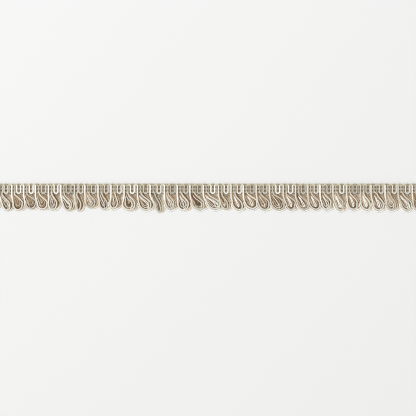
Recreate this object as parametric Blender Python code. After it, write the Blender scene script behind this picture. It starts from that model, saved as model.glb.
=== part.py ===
"""Looped fringe trim: a woven heading with a skirt of cream cord loops over tan yarn loops.

The trim is a straight cut length that lies flat, face up. X runs along it, the loops hang towards -Y,
and Z is up. The origin is at the middle of its underside. A cream cord runs to and fro across the
heading: a long loop down into the skirt, then a short scallop at the heading's lower edge, and so on.
"""

import math
import random
from collections import namedtuple

import bmesh
import bpy
from mathutils import Matrix, Vector

MM = 0.001

# The trim as a whole
REPEATS = 34
PITCH = 13.85 * MM
HALF_LENGTH = 235.9 * MM
HALF_WIDTH = 15.0 * MM
PIECE_GAP = 0.3 * MM

# The weaver's spacing drifts: one slow wave along the trim and one of half that length
FIRST_SCALLOP = -226.0 * MM
SLOW_DRIFT = 1.4 * MM
QUICK_DRIFT = 1.1 * MM

# Heading: levels are measured across the trim from its middle line
HEADING_LOWER_EDGE = 4.6 * MM
SCALLOP_DROP = 1.15 * MM
SCALLOP_CORD = 1.3 * MM
SCALLOP_DRAW_IN = 0.3
TURN_DIP = 0.5 * MM
EDGE_THICKNESS = 0.9 * MM

# Heading: how high each mark of the relief chart stands above the underside
RELIEF = {
    "c": 2.3 * MM,  # cream cord
    "t": 1.5 * MM,  # tan yarn under a turn
    "w": 1.6 * MM,  # binding stitches between two cords
    "o": 0.9 * MM,  # open hollow between two cords
}

# One column for each cord and each space between cords, placed from the middle of a short scallop
COLUMNS = (
    # name, offset along the trim, True where the cord turns over at the upper edge, share of the drop
    ("long_left", -9.0 * MM, False, 0.0),
    ("inside_long", -7.4 * MM, False, 0.0),
    ("long_right", -5.75 * MM, False, 0.0),
    ("turn_after_long", -4.0 * MM, True, 0.0),
    ("scallop_left", -2.25 * MM, False, 0.75),
    ("inside_scallop", -0.2 * MM, False, 1.0),
    ("scallop_right", 1.8 * MM, False, 0.75),
    ("turn_after_scallop", 3.3 * MM, True, 0.0),
)

# The relief of one repeat, a mark for each column, from the upper edge to the lower one
RELIEF_CHART = (
    # row, level across the trim, marks
    ("upper binding row", 12.9 * MM, "ctcccttc"),
    ("upper hollows", 10.8 * MM, "cocococo"),
    ("middle binding row", 9.1 * MM, "cwcwcwcw"),
    ("lower hollows", 6.9 * MM, "cocococo"),
    ("lower binding row", 5.5 * MM, "cwcwcccw"),
)

# Root strips: the line of stitches just below the scallops, from which the loops hang
STRIP_TOP = HEADING_LOWER_EDGE - SCALLOP_DROP - PIECE_GAP
STRIP_HEIGHT = 1.2 * MM
STRIP_LOWER_EDGE = STRIP_TOP - STRIP_HEIGHT

# Strands: the tan yarn lies on the surface and the cream cord lies over it
TAN_WIDTH = 1.05 * MM
TAN_THICKNESS = 0.8 * MM
CREAM_WIDTH = 1.4 * MM
CREAM_THICKNESS = 1.4 * MM
FINGER_WIDTH = 0.7 * MM
CREAM_UNDERSIDE = TAN_THICKNESS + PIECE_GAP

# Loops: depths are shares of a loop's length, and the tip is turned through these angles
BELLY_DEPTH = 0.62
SHOULDER_DEPTH = 0.3
TIP_ANGLES = (0, 40, 75, 105, 140, 180)
CREAM_NECK = 3.25 * MM

# The cord's outer edge passes the end of the longest loop's length by this much
TIP_EDGE = 0.488 * MM
LONGEST_LOOP = HALF_WIDTH + STRIP_LOWER_EDGE - TIP_EDGE

# How the loops hang: lean is the shift of the belly along the trim, belly its width, short is what the
# loop lacks of the longest one, and finger is the share of the length of a lone strand inside it
HABITS = {
    # mark: (name, lean, belly, short, finger)
    "s": ("slim", 4.8 * MM, 6.4 * MM, 0.6 * MM, 0.0),
    "c": ("teardrop", 4.2 * MM, 7.8 * MM, 0.8 * MM, 0.0),
    "w": ("wide", 3.4 * MM, 9.0 * MM, 1.0 * MM, 0.0),
    "d": ("slack", 3.0 * MM, 7.6 * MM, 2.2 * MM, 0.0),
    "o": ("oval", 2.6 * MM, 8.8 * MM, 1.2 * MM, 0.62),
    "l": ("leaning", 6.6 * MM, 7.0 * MM, 0.4 * MM, 0.7),
    "n": ("narrow", 1.2 * MM, 5.0 * MM, 1.1 * MM, 0.0),
    "h": ("hanging", 2.6 * MM, 6.8 * MM, 0.0 * MM, 0.75),
    "t": ("tangled", 3.8 * MM, 8.2 * MM, 1.6 * MM, 0.55),
}
HABIT_OF_REPEAT = "cscwdolnwldolhtcolncocoslcnowlocln"
UNEVEN_LEAN = 0.35 * MM
UNEVEN_SHORT = 0.3 * MM
UNEVEN_SEED = 7

# How far the end of a lone strand curls back
FINGER_CURL = 0.8 * MM

# Tan loops: two nested ones under each cream loop, or one where the second would be too narrow to
# turn, shifted a little further along the trim
TAN_RINGS = 2
TAN_NEST = 1.85 * MM
NARROWEST_RING = 2.6 * MM
TAN_NECK = 6.0 * MM
TAN_BELLY_SHARE = 0.75
TAN_BELLY_MORE = 1.8 * MM
TAN_FURTHER = 1.3 * MM
TAN_SHORT = 0.7 * MM

# Points nearer than this are the same point
TOUCH = 0.001 * MM

CREAM_COLOUR = (0.80, 0.76, 0.66, 1.0)
TAN_COLOUR = (0.42, 0.31, 0.20, 1.0)
HEADING_COLOUR = (0.70, 0.66, 0.57, 1.0)


def scallop_x(repeat):
    """The middle of a repeat's short scallop, with the drift of the weaving."""
    turn = 2 * math.pi * (repeat - 1) / REPEATS
    return FIRST_SCALLOP + PITCH * repeat - SLOW_DRIFT * math.sin(turn) + QUICK_DRIFT * math.cos(2 * turn)


def new_material(name, colour, roughness):
    material = bpy.data.materials.new(name)
    material.use_nodes = True
    shader = material.node_tree.nodes["Principled BSDF"]
    shader.inputs["Base Color"].default_value = colour
    shader.inputs["Roughness"].default_value = roughness
    shader.inputs["Metallic"].default_value = 0.0
    return material


def heading_point(repeat, number, row):
    """The place of one point of the heading's face: column number of a repeat, row from the upper edge."""
    _, offset, turns_over, drop = COLUMNS[number]
    x = scallop_x(repeat) + offset
    if row == 0:
        return x, HALF_WIDTH - (0.0 if turns_over else TURN_DIP), EDGE_THICKNESS
    if row > len(RELIEF_CHART):
        drawn_in = offset * SCALLOP_DRAW_IN if drop else 0.0
        return x - drawn_in, HEADING_LOWER_EDGE - drop * SCALLOP_DROP, EDGE_THICKNESS
    _, level, marks = RELIEF_CHART[row - 1]
    if row == len(RELIEF_CHART) and drop == 1.0:
        level = HEADING_LOWER_EDGE - SCALLOP_DROP + SCALLOP_CORD / 2
    return x, level, RELIEF[marks[number]]


def make_heading(collection):
    """The woven band: a grid whose points are raised into cords, stitches and hollows, closed below."""
    columns = REPEATS * len(COLUMNS)
    across = len(RELIEF_CHART) + 1
    along = columns + 1
    bpy.ops.mesh.primitive_grid_add(x_subdivisions=along, y_subdivisions=across, size=1)
    heading = bpy.context.object
    heading.name = "heading"
    heading.data.name = "heading"
    bpy.context.collection.objects.unlink(heading)
    collection.objects.link(heading)

    mesh = bmesh.new()
    mesh.from_mesh(heading.data)
    for vert in mesh.verts:
        step = round((vert.co.x + 0.5) * along)
        row = round((0.5 - vert.co.y) * across)
        column = min(max(step - 1, 0), columns - 1)
        x, y, z = heading_point(*divmod(column, len(COLUMNS)), row)
        if step in (0, along):
            x, z = math.copysign(HALF_LENGTH, vert.co.x), EDGE_THICKNESS
        vert.co = (x, y, z)

    rim = [edge for edge in mesh.edges if edge.is_boundary]
    walls = bmesh.ops.extrude_edge_only(mesh, edges=rim)["geom"]
    for item in walls:
        if isinstance(item, bmesh.types.BMVert):
            item.co.z = 0.0
    under = [edge for edge in mesh.edges if edge.is_boundary]
    bmesh.ops.holes_fill(mesh, edges=under, sides=0)
    bmesh.ops.recalc_face_normals(mesh, faces=mesh.faces)
    mesh.to_mesh(heading.data)
    mesh.free()

    heading.data.shade_smooth()
    heading.data.set_sharp_from_angle(angle=math.radians(60))
    heading.data.materials.append(new_material("heading_weave", HEADING_COLOUR, 0.85))


class Loop:
    """A teardrop that hangs from two roots in the strip and leans along the trim."""

    def __init__(self, root_x, neck, belly, lean, length):
        self.root_x = root_x
        self.neck = neck
        self.belly = belly
        self.lean = lean
        self.length = length

    def ease(self, depth):
        """How much of the lean and of the widening is reached at a share of the loop's length."""
        share = min(depth / BELLY_DEPTH, 1.0)
        return share * share * (3 - 2 * share)

    def middle(self, depth):
        """The point halfway between the two limbs."""
        return Vector((self.root_x + self.lean * self.ease(depth), STRIP_LOWER_EDGE - self.length * depth))

    def path(self, inset=0.0):
        """From the left root down round the tip and up to the right one, drawn in all round by inset."""
        left = []
        right = []
        for depth in (0.0, SHOULDER_DEPTH):
            half = (self.neck + (self.belly - self.neck) * self.ease(depth)) / 2 - inset
            left.append(self.middle(depth) - Vector((half, 0)))
            right.insert(0, self.middle(depth) + Vector((half, 0)))
        half = self.belly / 2 - inset
        drop = (1 - BELLY_DEPTH) * self.length - inset
        tip = []
        for angle in map(math.radians, TIP_ANGLES):
            tip.append(self.middle(BELLY_DEPTH) - Vector((half * math.cos(angle), drop * math.sin(angle))))
        return left + tip + right


def cream_loops():
    """Each repeat's cream loop, and the share of its length that a lone strand inside it reaches."""
    uneven = random.Random(UNEVEN_SEED)
    root_offset = (COLUMNS[0][1] + COLUMNS[2][1]) / 2
    for repeat, mark in enumerate(HABIT_OF_REPEAT):
        _, lean, belly, short, finger = HABITS[mark]
        lean += uneven.uniform(-UNEVEN_LEAN, UNEVEN_LEAN)
        short += uneven.uniform(0, UNEVEN_SHORT) if short else 0.0
        root_x = scallop_x(repeat) + root_offset
        yield Loop(root_x, CREAM_NECK, belly, lean, LONGEST_LOOP - short), finger


# A path of points, a width, and whether the strand comes back to a second root
Strand = namedtuple("Strand", "path width returns")


def cream_strands():
    """The long cord loops, and the lone strands that lie inside some of them."""
    strands = []
    for loop, finger in cream_loops():
        strands.append(Strand(loop.path(), CREAM_WIDTH, True))
        if finger:
            depths = [depth for depth in (0.0, SHOULDER_DEPTH, BELLY_DEPTH) if depth < finger]
            end = loop.middle(finger) - Vector((FINGER_CURL, 0))
            strands.append(Strand([loop.middle(depth) for depth in depths] + [end], FINGER_WIDTH, False))
    return strands


def cream_stubs():
    """The short way of each long limb from the root strip up to the heading's edge."""
    stubs = []
    for loop, _ in cream_loops():
        for root in (loop.path()[0], loop.path()[-1]):
            ends = [Vector((root.x, STRIP_TOP)), Vector((root.x, HEADING_LOWER_EDGE - PIECE_GAP))]
            stubs.append(Strand(ends, CREAM_WIDTH, False))
    return stubs


def tan_strands():
    """Nested yarn loops that fill each cream loop and show past its lower right side."""
    strands = []
    for cream, _ in cream_loops():
        belly = cream.belly * TAN_BELLY_SHARE + TAN_BELLY_MORE
        loop = Loop(cream.root_x, TAN_NECK, belly, cream.lean + TAN_FURTHER, cream.length - TAN_SHORT)
        for inset in (ring * TAN_NEST for ring in range(TAN_RINGS)):
            if loop.belly - 2 * inset > NARROWEST_RING:
                strands.append(Strand(loop.path(inset), TAN_WIDTH, True))
    return strands


def faces_at(mesh, level):
    """The faces of a root strip that lie in the upright plane at this level across the trim."""
    return [face for face in mesh.faces if all(abs(vert.co.y - level) < TOUCH for vert in face.verts)]


def root_face(mesh, root):
    return min(faces_at(mesh, root.y), key=lambda face: abs(face.calc_center_bounds().x - root.x))


def cut_across(mesh, faces, x):
    """Splits these faces where they cross a place along the trim."""
    edges = {edge for face in faces for edge in face.edges}
    verts = {vert for face in faces for vert in face.verts}
    geometry = [*faces, *edges, *verts]
    bmesh.ops.bisect_plane(mesh, geom=geometry, dist=TOUCH, plane_co=(x, 0, 0), plane_no=(1, 0, 0))


def cross_sections(path, last_side):
    """Each point of a path after the first, with the sideways step that keeps the width round a bend."""
    for before, point, after in zip(path, path[1:], [*path[2:], None]):
        coming = (point - before).normalized()
        along = coming if after is None else (coming + (after - point).normalized()).normalized()
        side = Vector((-along.y, along.x)) / along.dot(coming)
        yield point, last_side if after is None and last_side else side


def grow(mesh, strand):
    """Draws one strand out of its root face, and joins it to its second root if it comes back."""
    centre = strand.path[0]
    face = root_face(mesh, centre)
    other = root_face(mesh, strand.path[-1]) if strand.returns else None
    side = Vector((1, 0)) if strand.path[1].y < centre.y else Vector((-1, 0))
    for point, next_side in cross_sections(strand.path, -side if strand.returns else None):
        face = bmesh.ops.extrude_discrete_faces(mesh, faces=[face])["faces"][0]
        for vert in face.verts:
            half = math.copysign(strand.width / 2, (vert.co.xy - centre).dot(side))
            vert.co.xy = point + next_side * half
        centre, side = point, next_side
    if strand.returns:
        seam = [*face.verts, *other.verts]
        bmesh.ops.delete(mesh, geom=[face, other], context="FACES_ONLY")
        bmesh.ops.remove_doubles(mesh, verts=seam, dist=TOUCH)


def make_skirt(name, strands, underside, thickness, colour, collection):
    """A root strip as thick as its strands, from which every strand of one yarn grows."""
    mesh = bmesh.new()
    place = Matrix.Translation((0, STRIP_TOP - STRIP_HEIGHT / 2, underside + thickness / 2))
    size = Matrix.Diagonal((2 * HALF_LENGTH, STRIP_HEIGHT, thickness, 1))
    bmesh.ops.create_cube(mesh, size=1, matrix=place @ size)
    for repeat in range(REPEATS):
        cut_across(mesh, mesh.faces, scallop_x(repeat))
    for strand in strands:
        roots = (strand.path[0], strand.path[-1]) if strand.returns else (strand.path[0],)
        for root in roots:
            for edge in (root.x - strand.width / 2, root.x + strand.width / 2):
                cut_across(mesh, faces_at(mesh, root.y), edge)
    for strand in strands:
        grow(mesh, strand)
    bmesh.ops.recalc_face_normals(mesh, faces=mesh.faces)

    data = bpy.data.meshes.new(name)
    mesh.to_mesh(data)
    mesh.free()
    data.set_sharp_from_angle(angle=math.radians(50))
    data.materials.append(new_material(name + "_yarn", colour, 0.8))
    collection.objects.link(bpy.data.objects.new(name, data))


def main():
    for obj in list(bpy.data.objects):
        bpy.data.objects.remove(obj)
    trim = bpy.data.collections.new("looped_fringe_trim")
    bpy.context.scene.collection.children.link(trim)
    make_heading(trim)
    cream = cream_strands() + cream_stubs()
    make_skirt("cream_loops", cream, CREAM_UNDERSIDE, CREAM_THICKNESS, CREAM_COLOUR, trim)
    make_skirt("tan_loops", tan_strands(), 0.0, TAN_THICKNESS, TAN_COLOUR, trim)


main()
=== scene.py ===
# %% [markdown]
# # A looped fringe trim, laid thread by thread
#
# This lesson dresses a plain model of a looped fringe trim: a woven heading with a skirt of cream cord
# loops over fine tan yarn. A trim like this has no hard parts, only strands that cross, turn and hang.
# So almost everything here is one idea used many times: a table of points becomes a round strand.
# The plain model comes first. It says how long the trim is, and where its heading begins and ends.

# %% Load the plain model
import math
import random
from collections import namedtuple

import bpy
import numpy as np
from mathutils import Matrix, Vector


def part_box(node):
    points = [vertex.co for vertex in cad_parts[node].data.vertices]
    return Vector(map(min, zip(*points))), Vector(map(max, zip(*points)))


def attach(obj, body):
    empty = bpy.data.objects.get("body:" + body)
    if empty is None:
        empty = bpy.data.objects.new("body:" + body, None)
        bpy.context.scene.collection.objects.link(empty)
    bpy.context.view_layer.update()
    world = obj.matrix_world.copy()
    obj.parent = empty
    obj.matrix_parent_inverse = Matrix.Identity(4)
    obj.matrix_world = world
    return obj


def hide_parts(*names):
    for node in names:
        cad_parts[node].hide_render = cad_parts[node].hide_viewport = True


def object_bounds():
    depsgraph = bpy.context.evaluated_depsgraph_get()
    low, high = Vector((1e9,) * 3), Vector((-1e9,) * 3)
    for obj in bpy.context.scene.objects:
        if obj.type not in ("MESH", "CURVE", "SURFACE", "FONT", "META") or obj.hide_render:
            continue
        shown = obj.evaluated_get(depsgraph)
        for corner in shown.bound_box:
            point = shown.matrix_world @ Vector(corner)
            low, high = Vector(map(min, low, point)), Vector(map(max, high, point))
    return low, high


MM = 0.001
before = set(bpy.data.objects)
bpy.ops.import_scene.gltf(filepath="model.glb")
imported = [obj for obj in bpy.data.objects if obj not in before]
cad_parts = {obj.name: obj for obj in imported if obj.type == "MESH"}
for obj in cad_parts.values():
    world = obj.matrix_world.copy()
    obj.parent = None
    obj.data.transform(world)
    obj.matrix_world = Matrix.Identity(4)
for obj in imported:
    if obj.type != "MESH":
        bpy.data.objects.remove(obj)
cad_box = [list(corner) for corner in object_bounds()]
left_end, right_end = cad_box[0][0] / MM, cad_box[1][0] / MM
heading_low, heading_high = (corner.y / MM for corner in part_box("heading"))
print("plain model, mm:", round(right_end - left_end, 1), "long, heading from", round(heading_low, 2))

# %% [markdown]
# ## Where the columns of the heading stand
#
# A cream cord runs to and fro across the heading. It goes down into a long loop of the skirt, comes
# back, turns over the upper edge, dips into a short scallop at the heading's lower edge, and goes on.
# Each of these repeats has the same columns, so one short table places them all, in millimetres from
# the middle of the scallop. The weaver's hand was not quite even. Two gentle waves give that drift,
# which is easier to read and to change than a long list of places.

# %% Columns of one repeat
REPEATS = 34
PITCH = 13.85
FIRST_SCALLOP = -226.0
SLOW_DRIFT = 1.4
QUICK_DRIFT = 1.1

LONG_LEFT = -9.0
INSIDE_LONG = -7.4
LONG_RIGHT = -5.75
SCALLOP_LEFT = -2.25
INSIDE_SCALLOP = -0.2
SCALLOP_RIGHT = 1.8
AFTER_SCALLOP = 3.3


def scallop_x(repeat):
    """The middle of a repeat's short scallop, with the drift of the weaving."""
    turn = 2 * math.pi * (repeat - 1) / REPEATS
    return FIRST_SCALLOP + PITCH * repeat - SLOW_DRIFT * math.sin(turn) + QUICK_DRIFT * math.cos(2 * turn)


print("first and last scallop, mm:", round(scallop_x(0), 1), round(scallop_x(REPEATS - 1), 1))

# %% [markdown]
# ## A pale table
#
# The trim lies on a plain pale table. One large flat square is enough. It is matt, so it takes the
# soft shadow of the strands and mirrors nothing.

# %% Table
TABLE_SIDE = 6.0
TABLE_COLOUR = (0.742, 0.742, 0.738, 1.0)
TABLE_ROUGHNESS = 0.9
TABLE_SPECULAR = 0.2


def make_table():
    bpy.ops.mesh.primitive_plane_add(size=TABLE_SIDE)
    table = bpy.context.object
    table.name = "table"
    paint = bpy.data.materials.new("pale_table")
    paint.use_nodes = True
    shader = paint.node_tree.nodes["Principled BSDF"]
    shader.inputs["Base Color"].default_value = TABLE_COLOUR
    shader.inputs["Roughness"].default_value = TABLE_ROUGHNESS
    shader.inputs["Specular IOR Level"].default_value = TABLE_SPECULAR
    table.data.materials.append(paint)


make_table()
print("table, m:", TABLE_SIDE)

# %% [markdown]
# ## Soft light
#
# The light comes from all round, as in a studio. A white sky gives most of it. One wide lamp up to the
# left shades one side of each strand. A small lamp would throw hard shadows and hide the yarn.

# %% Light
SKY_STRENGTH = 0.72
WHITE = (1.0, 1.0, 1.0, 1.0)
KEY_SIZE = 2.0
KEY_PLACE = (-1.4, 1.2, 3.4)
KEY_TILT = (math.radians(-19), math.radians(-22), 0)
KEY_POWER = 88.0


def make_light():
    world = bpy.data.worlds.new("soft_room")
    world.use_nodes = True
    sky = world.node_tree.nodes["Background"]
    sky.inputs["Color"].default_value = WHITE
    sky.inputs["Strength"].default_value = SKY_STRENGTH
    bpy.context.scene.world = world
    lamp = bpy.data.lights.new("key", "AREA")
    lamp.size = KEY_SIZE
    lamp.energy = KEY_POWER
    key = bpy.data.objects.new("key", lamp)
    key.location = KEY_PLACE
    key.rotation_euler = KEY_TILT
    bpy.context.scene.collection.objects.link(key)


make_light()
print("sky strength and lamp power:", SKY_STRENGTH, KEY_POWER)

# %% [markdown]
# ## The camera
#
# The trim is seen from straight above, in a frame 446 mm wide. A real lens stands a good way off, so
# that the strands' sides don't lean. Its height follows from the width of the frame, the lens and the
# sensor. The plain view transform shows the yarn's colours as they are mixed, and a narrow pixel
# filter keeps fine strands crisp.

# %% Camera
FRAME_WIDTH = 0.4457
FRAME_MIDDLE = (0.00480, -0.01157)
LENS = 110.0
SENSOR = 36.0
FAR_LIMIT = 20.0


def make_camera():
    lens = bpy.data.cameras.new("camera")
    lens.lens = LENS
    lens.sensor_width = SENSOR
    lens.clip_end = FAR_LIMIT
    camera = bpy.data.objects.new("camera", lens)
    camera.location = (*FRAME_MIDDLE, FRAME_WIDTH * LENS / SENSOR)
    bpy.context.scene.collection.objects.link(camera)
    bpy.context.scene.camera = camera
    return camera


camera = make_camera()
bpy.context.scene.view_settings.view_transform = "Standard"
bpy.context.scene.cycles.filter_width = 1.0
print("camera height, m:", round(camera.location.z, 3))

# %% [markdown]
# ## From a table of points to a strand
#
# A curve object with a bevel would do for one strand, but here there are thousands of turns. Arrays are
# quicker, and they let each point keep a thickness and a shade of its own. So a strand is a table with a
# row for each point: x, y and z in millimetres, then how full the strand is there, then its shade, from
# 0 for the dark of its yarn to 1 for the light. Three helpers measure, space and smooth such a table.
# In some places that shade is set low as painted shade; each place says so.

# %% Measure, space and smooth a line
STEPS_BETWEEN = 8


def travel(line):
    """How far each row is along the line."""
    return np.concatenate([[0], np.cumsum(np.linalg.norm(np.diff(line[:, :3], axis=0), axis=1))])


def even(line, spacing):
    """The same line with evenly spaced rows."""
    reach = travel(line)
    places = np.linspace(0, reach[-1], max(round(reach[-1] / spacing), 2) + 1)
    return np.column_stack([np.interp(places, reach, column) for column in line.T])


def smooth(points, spacing):
    """A smooth line through a few points."""
    points = np.array(points, float)
    knots = np.vstack([2 * points[0] - points[1], points, 2 * points[-1] - points[-2]])
    share = np.linspace(0, 1, STEPS_BETWEEN, endpoint=False)[:, None]
    pieces = []
    for a, b, c, d in zip(knots, knots[1:], knots[2:], knots[3:]):
        bend = (a - 2.5 * b + 2 * c - 0.5 * d) + share * (3 * b - 3 * c + d - a) / 2
        pieces.append(b + share * ((c - a) / 2 + share * bend))
    return even(np.vstack([*pieces, points[-1:]]), spacing)


sample = smooth([(0, 0, 0, 1, 0.5), (5, 5, 0, 1, 0.5), (10, 0, 0, 1, 0.5)], 1.0)
print("an arch through three points:", len(sample), "rows, mm:", round(travel(sample)[-1], 1))

# %% [markdown]
# A strand is round, so each row also needs to know which way is sideways and which way is up. Both are
# found on the whole line and kept beside each row. A strand that is cut in two later then meets itself
# exactly, because neither half has to guess its direction at the cut.

# %% Sideways and upward
SIDEWAYS = slice(5, 8)
UPWARD = slice(8, 11)


def directions(line):
    """Sideways and upward at each row of a line."""
    ahead = np.gradient(line[:, :3], axis=0)
    ahead /= np.linalg.norm(ahead, axis=1)[:, None]
    side = np.cross(ahead, (0.0, 0.0, 1.0))
    side /= np.maximum(np.linalg.norm(side, axis=1), 1e-9)[:, None]
    return side, np.cross(side, ahead)


def turned(line):
    """The line with its sideways and upward directions added to each row."""
    return np.hstack([line, *directions(line)])


print("columns in a row, before and after:", sample.shape[1], turned(sample).shape[1])

# %% [markdown]
# ## Plies
#
# A cord is plied: thinner yarns turn round each other, four in the cream cord here, three in its thin
# strands and two in the tan yarn. Each ply is a line of its own, a helix about the cord's middle line.
# That real twist gives the cord its rope-like edge, which no bump map would. A cord's twist is kept as
# four values: how many plies, how far they stand from the middle, how thick they are, and the length of
# one full turn.

# %% Plies
CORD_TWIST = {"count": 4, "spread": 0.34, "radius": 0.37, "turn_length": 3.4}
THIN_TWIST = {"count": 3, "spread": 0.24, "radius": 0.26, "turn_length": 2.4}
TAN_TWIST = {"count": 2, "spread": 0.16, "radius": 0.34, "turn_length": 3.6}


def plies(line, count, spread, radius, turn_length):
    """The plies that turn round a line; each row's fullness becomes a real radius."""
    side, up = directions(line)
    fullness = line[:, 3:4]
    for number in range(count):
        angle = 2 * math.pi * (travel(line) / turn_length + number / count)[:, None]
        place = line[:, :3] + spread * fullness * (np.cos(angle) * side + np.sin(angle) * up)
        yield turned(np.hstack([place, radius * fullness, line[:, 4:5]]))


def plied(lines, twist):
    """All the plies of a list of lines."""
    return [ply for line in lines for ply in plies(line, **twist)]


print("plies of one cream cord:", len(plied([sample], CORD_TWIST)))

# %% [markdown]
# ## One mesh of many strands
#
# Blender is slow with thousands of objects, so all the strands of one kind become one mesh. Each row of
# a strand becomes a ring of points, and four-cornered faces join ring to ring. The faces carry a map:
# its first axis runs along the strand and its second round it, so that a finish can draw fibres that
# follow the yarn.

# %% Rings, walls and map of one strand
def rings(strand, sides):
    """The points round each row of a strand."""
    turn = (2 * math.pi * np.arange(sides) / sides)[:, None]
    side, up = strand[:, SIDEWAYS], strand[:, UPWARD]
    rim = np.cos(turn) * side[:, None] + np.sin(turn) * up[:, None]
    return (strand[:, None, :3] + strand[:, None, 3:4] * rim).reshape(-1, 3)


def walls(rows, sides):
    """The faces between rings, from the number of each ring's first point."""
    here = np.arange(sides)
    after = (here + 1) % sides
    corners = [rows[:-1] + here, rows[1:] + here, rows[1:] + after, rows[:-1] + after]
    return np.stack(corners, axis=-1).reshape(-1, 4)


def walls_map(strand, sides):
    """The same corners on the map: how far along the strand, and how far round it."""
    reach = np.repeat(travel(strand)[:, None], sides, axis=1)
    low = np.repeat(np.arange(sides)[None] / sides, len(strand) - 1, axis=0)
    high = low + 1 / sides
    corners = [reach[:-1], low, reach[1:], low, reach[1:], high, reach[:-1], high]
    return np.stack(corners, axis=-1).reshape(-1)


print("faces between three rings of four points:", len(walls(4 * np.arange(3)[:, None], 4)))

# %% [markdown]
# The parts of all the strands are then stacked. A cap closes each end of a strand. The caps stay flat
# while the walls are shaded smooth, so a cut end looks cut. Every point carries its shade.

# %% Join the strands
def strand_mesh(name, strands, sides, finish):
    """One mesh of many round strands, scaled from millimetres to metres."""
    here = np.arange(sides)
    places, quads, caps, maps, first = [], [], [], [], 0
    for strand in strands:
        rows = first + sides * np.arange(len(strand))[:, None]
        places.append(rings(strand, sides))
        quads.append(walls(rows, sides))
        maps.append(walls_map(strand, sides))
        caps += [(rows[0, 0] + here).tolist(), (rows[-1, 0] + here[::-1]).tolist()]
        first += len(strand) * sides
    mesh = bpy.data.meshes.new(name)
    mesh.from_pydata(np.vstack(places) * MM, [], np.vstack(quads).tolist() + caps)
    maps.append(np.zeros(2 * sides * len(caps)))
    mesh.uv_layers.new(name="strand").uv.foreach_set("vector", np.concatenate(maps))
    shades = np.concatenate([np.repeat(strand[:, 4], sides) for strand in strands])
    mesh.attributes.new("shade", "FLOAT", "POINT").data.foreach_set("value", shades)
    is_wall = np.arange(len(mesh.polygons)) < len(mesh.polygons) - len(caps)
    mesh.polygons.foreach_set("use_smooth", is_wall)
    mesh.materials.append(finish)
    piece = bpy.data.objects.new(name, mesh)
    bpy.context.scene.collection.objects.link(piece)
    triangles = sum(2 * len(part) for part in quads) + (sides - 2) * len(caps)
    print(name, "strands:", len(strands), "triangles:", triangles)
    return piece


print("one millimetre, as the meshes keep it:", MM)

# %% [markdown]
# ## Yarn finishes
#
# Yarn is fibre, and its look comes from three things: colour that wanders along the strand, fine lines
# that wind round it, and a dull edge that catches light like velvet. A picture of yarn would repeat and
# blur close up, so nodes draw it all. Two small helpers come first. One adds a node with its values. The
# other turns a colour as a screen shows it into the shader's own values.

# %% Helpers for finishes
def add_node(tree, kind, values=(), **settings):
    """A shader node, with its settings and with the values of some of its inputs."""
    made = tree.nodes.new(kind)
    for name, setting in settings.items():
        setattr(made, name, setting)
    for key, value in dict(values).items():
        made.inputs[key].default_value = value
    return made


def shown(red, green, blue):
    """A colour as it shows on a screen, from 0 to 255, as the shader's own values."""
    return (*(((value / 255 + 0.055) / 1.055) ** 2.4 for value in (red, green, blue)), 1.0)


print("a middle grey, as the shader takes it:", round(shown(128, 128, 128)[0], 3))

# %% [markdown]
# The wandering is a noise in the object's own space. The fibres are a wave on the strand map: so many
# crests round the strand, and one more for each fibre length along it, which makes them wind.

# %% Wandering and fibres
NOISE_SCALE = 420.0
NOISE_DETAIL = 3.0
NOISE_LOW = 0.25
NOISE_HIGH = 0.75


def wandering(tree, share):
    """A noise that wanders from minus to plus its share."""
    place = add_node(tree, "ShaderNodeTexCoord")
    noise = add_node(tree, "ShaderNodeTexNoise", {"Scale": NOISE_SCALE, "Detail": NOISE_DETAIL})
    tree.links.new(place.outputs["Object"], noise.inputs["Vector"])
    span = {"From Min": NOISE_LOW, "From Max": NOISE_HIGH, "To Min": -share, "To Max": share}
    spread_out = add_node(tree, "ShaderNodeMapRange", span)
    tree.links.new(noise.outputs["Fac"], spread_out.inputs["Value"])
    return spread_out.outputs["Result"]


def fibre_wave(tree, crests, length):
    """A wave from -1 to 1 for the fibres that wind round a strand."""
    strand = add_node(tree, "ShaderNodeUVMap", uv_map="strand")
    steps = (2 * math.pi / length, 2 * math.pi * crests, 0.0)
    wound = add_node(tree, "ShaderNodeVectorMath", {1: steps}, operation="DOT_PRODUCT")
    tree.links.new(strand.outputs["UV"], wound.inputs[0])
    wave = add_node(tree, "ShaderNodeMath", operation="SINE")
    tree.links.new(wound.outputs["Value"], wave.inputs[0])
    return wave.outputs["Value"]


print("the noise is used between:", NOISE_LOW, "and", NOISE_HIGH)

# %% [markdown]
# The strand's own shade, the noise and the fibre lines are added up to one number. A colour ramp then
# turns that number into a colour, from dark to light. So yarns of many shades can share one material,
# and the dark end also gives the painted shade that some strands carry.

# %% Shade and dye
FIBRE_SHADE = 0.08


def full_shade(tree, wave, wander):
    """The strand's own shade, with the noise and the fibre lines added."""
    own = add_node(tree, "ShaderNodeAttribute", attribute_name="shade")
    shade = add_node(tree, "ShaderNodeMath", operation="ADD")
    tree.links.new(own.outputs["Fac"], shade.inputs[0])
    tree.links.new(wandering(tree, wander), shade.inputs[1])
    lined = add_node(tree, "ShaderNodeMath", {1: FIBRE_SHADE}, operation="MULTIPLY_ADD")
    tree.links.new(wave, lined.inputs[0])
    tree.links.new(shade.outputs["Value"], lined.inputs[2])
    return lined.outputs["Value"]


def dyed(tree, shade, colours):
    """The colour for a shade, from evenly spaced dyes."""
    dye = add_node(tree, "ShaderNodeValToRGB")
    ramp = dye.color_ramp
    while len(ramp.elements) < len(colours):
        ramp.elements.new(1.0)
    for number, colour in enumerate(colours):
        ramp.elements[number].position = number / (len(colours) - 1)
        ramp.elements[number].color = shown(*colour)
    tree.links.new(shade, dye.inputs["Fac"])
    return dye.outputs["Color"]


print("a fibre line shifts the shade by at most:", FIBRE_SHADE)

# %% [markdown]
# A finish joins these. Its roughness is high and its sheen soft, for the dull velvet edge, and both are
# plain values on the shader. The same wave that lines the colour raises the fibres a little as bump.

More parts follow.
